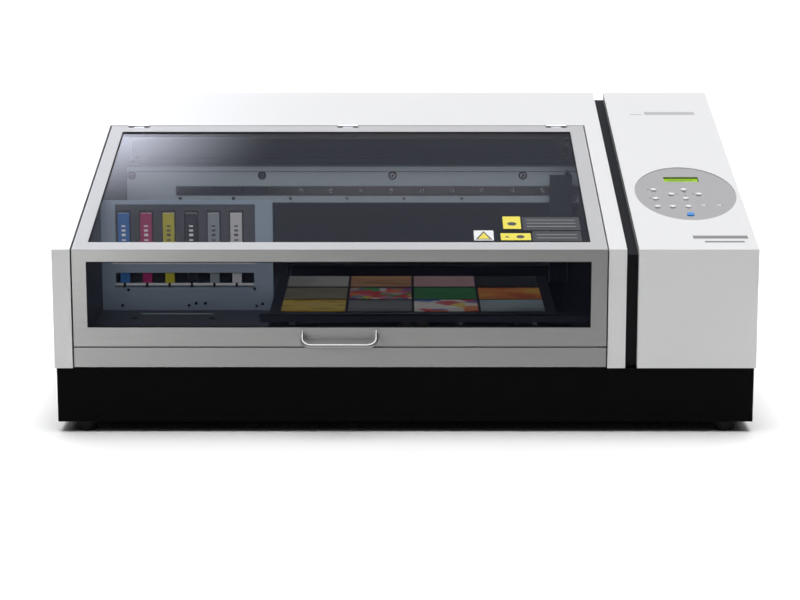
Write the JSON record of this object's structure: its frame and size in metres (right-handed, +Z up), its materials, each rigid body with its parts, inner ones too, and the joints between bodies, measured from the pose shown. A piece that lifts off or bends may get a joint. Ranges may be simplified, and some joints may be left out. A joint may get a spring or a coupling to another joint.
{
  "type": "flatbed uv printer",
  "caption": "Bench-top flatbed printer with a sloping hinged tinted cover, silver frame, moving print table, ink bay on the left and a white control pod on the right.",
  "frame": {"origin": "on the floor, under the middle of the whole object", "axes": "+X to the right seen from the front, +Y to the rear, +Z up"},
  "size_m": [1.202, 0.962, 0.5],
  "materials": {
    "black_steel": "satin black powder coat",
    "white_shell": "white satin paint",
    "dark_liner": "matt black paint",
    "graphite_steel": "blue-grey satin paint",
    "brushed_silver": "fine horizontal brush",
    "bare_steel": "ground",
    "satin_chrome": "satin chrome",
    "alloy": "machined",
    "brass": "machined",
    "tinted_window": "tinted acrylic, polished",
    "black_plastic": "fine texture",
    "panel_grey": "satin film",
    "rubber": "matt",
    "display": "lit green screen",
    "key_white": "satin",
    "key_blue": "lit",
    "ink_cyan": "label",
    "ink_magenta": "label",
    "ink_yellow": "label",
    "ink_black": "label",
    "ink_gloss": "label",
    "ink_white": "label"
  },
  "bodies": {
    "root": {"base_tray": "black_steel", "rubber_feet": "rubber", "left_liner": "dark_liner", "right_liner": "dark_liner", "front_guard_bar": "dark_liner", "left_side_panel": "white_shell", "rear_deck_panel": "white_shell", "rear_panel": "white_shell", "rear_housing": "white_shell", "right_strip_panel": "white_shell", "recess_channel": "black_plastic", "pod_shell": "white_shell", "control_panel_plate": "panel_grey", "lcd_display": "display", "lower_front_panel": "brushed_silver", "ink_bay_plate": "graphite_steel", "ink_bay_housing": "black_plastic", "gantry_frame": "graphite_steel", "x_rail": "bare_steel", "x_belt": "rubber", "drive_motors": "dark_liner", "power_supply": "bare_steel", "exhaust_fan": "black_plastic", "power_inlet": "black_plastic", "table_rails": "bare_steel", "hinge_bases": "bare_steel"},
    "cover": {"cover_top_frame": "brushed_silver", "cover_front_frame": "brushed_silver", "top_window": "tinted_window", "front_window": "tinted_window", "handle": "satin_chrome", "hinge_leaves": "bare_steel"},
    "carriage": {"carriage_body": "dark_liner", "print_heads": "bare_steel", "uv_lamps": "alloy"},
    "capping": {"capping_station": "black_plastic"},
    "drive_pulley": {"x_drive_pulley": "alloy"},
    "idler_pulley": {"x_idler_pulley": "alloy"},
    "table_slide": {"table_base": "alloy"},
    "drive_screw": {"y_screw": "bare_steel"},
    "nut": {"lift_nut": "brass"},
    "table": {"print_table": "dark_liner", "lift_columns": "bare_steel"},
    "fan": {"fan_rotor": "black_plastic"},
    "ink_cyan": {"cartridge_cyan": "ink_cyan"},
    "ink_magenta": {"cartridge_magenta": "ink_magenta"},
    "ink_yellow": {"cartridge_yellow": "ink_yellow"},
    "ink_black": {"cartridge_black": "ink_black"},
    "ink_gloss": {"cartridge_gloss": "ink_gloss"},
    "ink_white": {"cartridge_white": "ink_white"},
    "key_menu_body": {"key_menu": "key_white"},
    "key_up_body": {"key_up": "key_white"},
    "key_left_body": {"key_left": "key_white"},
    "key_right_body": {"key_right": "key_white"},
    "key_function_body": {"key_function": "key_white"},
    "key_down_body": {"key_down": "key_white"},
    "key_cancel_body": {"key_cancel": "key_white"},
    "key_pause_body": {"key_pause": "key_white"},
    "key_enter_body": {"key_enter": "key_white"},
    "power_button_body": {"power_button": "key_blue"}
  },
  "joints": [
    {"name": "cover_hinge", "type": "hinge", "parent": "root", "child": "cover", "pos_m": [0, 0.14145, 0.45467], "axis": [-1, 0, 0], "range_deg": [0, 60]},
    {"name": "carriage_slide", "type": "slide", "parent": "root", "child": "carriage", "axis": [1, 0, 0], "range_m": [-0.83, 0]},
    {"name": "drive_pulley_spin", "type": "hinge", "parent": "root", "child": "drive_pulley", "pos_m": [0.572, 0.277, 0.369], "axis": [0, 0, 1], "range_deg": [-10, 3990]},
    {"name": "idler_pulley_spin", "type": "hinge", "parent": "root", "child": "idler_pulley", "pos_m": [-0.53, 0.277, 0.369], "axis": [0, 0, 1], "range_deg": [-10, 3990]},
    {"name": "cap_lift", "type": "slide", "parent": "root", "child": "capping", "axis": [0, 0, -1], "range_m": [0, 0.012]},
    {"name": "table_travel", "type": "slide", "parent": "root", "child": "table_slide", "axis": [0, 1, 0], "range_m": [0, 0.47]},
    {"name": "drive_screw_spin", "type": "hinge", "parent": "root", "child": "drive_screw", "pos_m": [0.11, 0.049, 0.0505], "axis": [0, 1, 0], "range_deg": [-10, 8480]},
    {"name": "table_lift", "type": "slide", "parent": "table_slide", "child": "table", "axis": [0, 0, 1], "range_m": [0, 0.096]},
    {"name": "lift_nut_spin", "type": "hinge", "parent": "table_slide", "child": "nut", "pos_m": [0.015, -0.181, 0.11], "axis": [0, 0, 1], "range_deg": [-10, 3480]},
    {"name": "fan_spin", "type": "hinge", "parent": "root", "child": "fan", "pos_m": [0.462, 0.313, 0.225], "axis": [0, 1, 0], "continuous": true},
    {"name": "cartridge_cyan_slide", "type": "slide", "parent": "root", "child": "ink_cyan", "axis": [0, -1, 0], "range_m": [0, 0.16]},
    {"name": "cartridge_magenta_slide", "type": "slide", "parent": "root", "child": "ink_magenta", "axis": [0, -1, 0], "range_m": [0, 0.16]},
    {"name": "cartridge_yellow_slide", "type": "slide", "parent": "root", "child": "ink_yellow", "axis": [0, -1, 0], "range_m": [0, 0.16]},
    {"name": "cartridge_black_slide", "type": "slide", "parent": "root", "child": "ink_black", "axis": [0, -1, 0], "range_m": [0, 0.16]},
    {"name": "cartridge_gloss_slide", "type": "slide", "parent": "root", "child": "ink_gloss", "axis": [0, -1, 0], "range_m": [0, 0.16]},
    {"name": "cartridge_white_slide", "type": "slide", "parent": "root", "child": "ink_white", "axis": [0, -1, 0], "range_m": [0, 0.16]},
    {"name": "key_menu_press", "type": "slide", "parent": "root", "child": "key_menu_body", "axis": [0, 0.2249, -0.9744], "range_m": [0, 0.0012], "stiffness_N_per_m": 400},
    {"name": "key_up_press", "type": "slide", "parent": "root", "child": "key_up_body", "axis": [0, 0.2249, -0.9744], "range_m": [0, 0.0012], "stiffness_N_per_m": 400},
    {"name": "key_left_press", "type": "slide", "parent": "root", "child": "key_left_body", "axis": [0, 0.2249, -0.9744], "range_m": [0, 0.0012], "stiffness_N_per_m": 400},
    {"name": "key_right_press", "type": "slide", "parent": "root", "child": "key_right_body", "axis": [0, 0.2249, -0.9744], "range_m": [0, 0.0012], "stiffness_N_per_m": 400},
    {"name": "key_function_press", "type": "slide", "parent": "root", "child": "key_function_body", "axis": [0, 0.2249, -0.9744], "range_m": [0, 0.0012], "stiffness_N_per_m": 400},
    {"name": "key_down_press", "type": "slide", "parent": "root", "child": "key_down_body", "axis": [0, 0.2249, -0.9744], "range_m": [0, 0.0012], "stiffness_N_per_m": 400},
    {"name": "key_cancel_press", "type": "slide", "parent": "root", "child": "key_cancel_body", "axis": [0, 0.2249, -0.9744], "range_m": [0, 0.0012], "stiffness_N_per_m": 400},
    {"name": "key_pause_press", "type": "slide", "parent": "root", "child": "key_pause_body", "axis": [0, 0.2249, -0.9744], "range_m": [0, 0.0012], "stiffness_N_per_m": 400},
    {"name": "key_enter_press", "type": "slide", "parent": "root", "child": "key_enter_body", "axis": [0, 0.2249, -0.9744], "range_m": [0, 0.0012], "stiffness_N_per_m": 400},
    {"name": "power_button_press", "type": "slide", "parent": "root", "child": "power_button_body", "axis": [0, 0.2249, -0.9744], "range_m": [0, 0.0012], "stiffness_N_per_m": 400}
  ],
  "couplings": [
    {"joint": "drive_pulley_spin", "follows": "carriage_slide", "rad_per_m": -82.988},
    {"joint": "idler_pulley_spin", "follows": "carriage_slide", "rad_per_m": -82.988},
    {"joint": "drive_screw_spin", "follows": "table_travel", "rad_per_m": 314.16},
    {"joint": "lift_nut_spin", "follows": "table_lift", "rad_per_m": 628.32}
  ]
}
